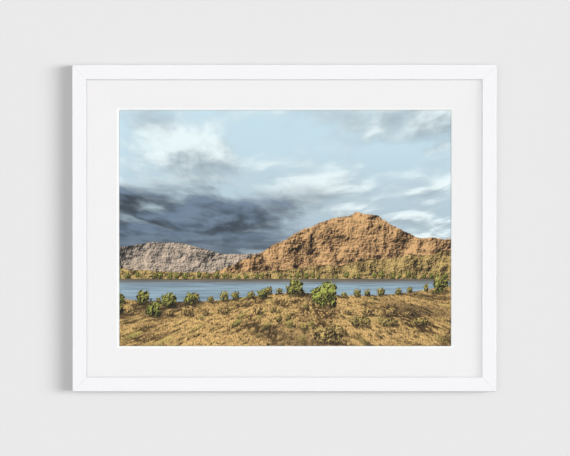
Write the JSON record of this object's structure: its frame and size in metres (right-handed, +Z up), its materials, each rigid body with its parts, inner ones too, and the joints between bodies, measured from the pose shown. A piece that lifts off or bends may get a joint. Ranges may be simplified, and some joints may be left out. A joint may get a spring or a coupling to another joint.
{
  "type": "framed print",
  "caption": "Landscape-format picture in a white window mat behind clear glazing, in a narrow white mitred wall frame with turn-button back and sawtooth hanger.",
  "frame": {"origin": "middle of the back face of the sawtooth hanger, on the wall plane y = 0, where a nail carries the frame", "axes": "+Y into the wall, -Y the way the picture faces, +X to the right as seen from the front, +Z up"},
  "size_m": [0.534, 0.023, 0.411],
  "materials": {
    "moulding": "satin",
    "hardware": "satin",
    "glazing": "gloss",
    "window_mat": "matte",
    "print": "matte",
    "mount_board": "matte",
    "back_panel": "matte",
    "bumper": "matte"
  },
  "bodies": {
    "frame": {"rail_top": "moulding", "rail_right": "moulding", "rail_bottom": "moulding", "rail_left": "moulding", "staple_top_right": "hardware", "staple_top_left": "hardware", "staple_bottom_right": "hardware", "staple_bottom_left": "hardware", "glazing": "glazing", "window_mat": "window_mat", "print_sheet": "print", "mount_board": "mount_board", "back_panel": "back_panel", "screw_top_left": "hardware", "screw_top_right": "hardware", "screw_bottom_left": "hardware", "screw_bottom_right": "hardware", "screw_left": "hardware", "screw_right": "hardware", "sawtooth_hanger": "hardware", "hanger_nail_left": "hardware", "hanger_nail_right": "hardware", "bumper_left": "bumper", "bumper_right": "bumper"},
    "button_top_left": {"turn_button_top_left": "hardware"},
    "button_top_right": {"turn_button_top_right": "hardware"},
    "button_bottom_left": {"turn_button_bottom_left": "hardware"},
    "button_bottom_right": {"turn_button_bottom_right": "hardware"},
    "button_left": {"turn_button_left": "hardware"},
    "button_right": {"turn_button_right": "hardware"}
  },
  "joints": [
    {"name": "turn_top_left", "type": "hinge", "parent": "frame", "child": "button_top_left", "pos_m": [-0.15, -0.0022, 0], "axis": [0, 1, 0], "range_deg": [-90, 90]},
    {"name": "turn_top_right", "type": "hinge", "parent": "frame", "child": "button_top_right", "pos_m": [0.15, -0.0022, 0], "axis": [0, 1, 0], "range_deg": [-90, 90]},
    {"name": "turn_bottom_left", "type": "hinge", "parent": "frame", "child": "button_bottom_left", "pos_m": [-0.15, -0.0022, -0.399], "axis": [0, 1, 0], "range_deg": [-90, 90]},
    {"name": "turn_bottom_right", "type": "hinge", "parent": "frame", "child": "button_bottom_right", "pos_m": [0.15, -0.0022, -0.399], "axis": [0, 1, 0], "range_deg": [-90, 90]},
    {"name": "turn_left", "type": "hinge", "parent": "frame", "child": "button_left", "pos_m": [-0.261, -0.0022, -0.1995], "axis": [0, 1, 0], "range_deg": [-90, 90]},
    {"name": "turn_right", "type": "hinge", "parent": "frame", "child": "button_right", "pos_m": [0.261, -0.0022, -0.1995], "axis": [0, 1, 0], "range_deg": [-90, 90]}
  ]
}
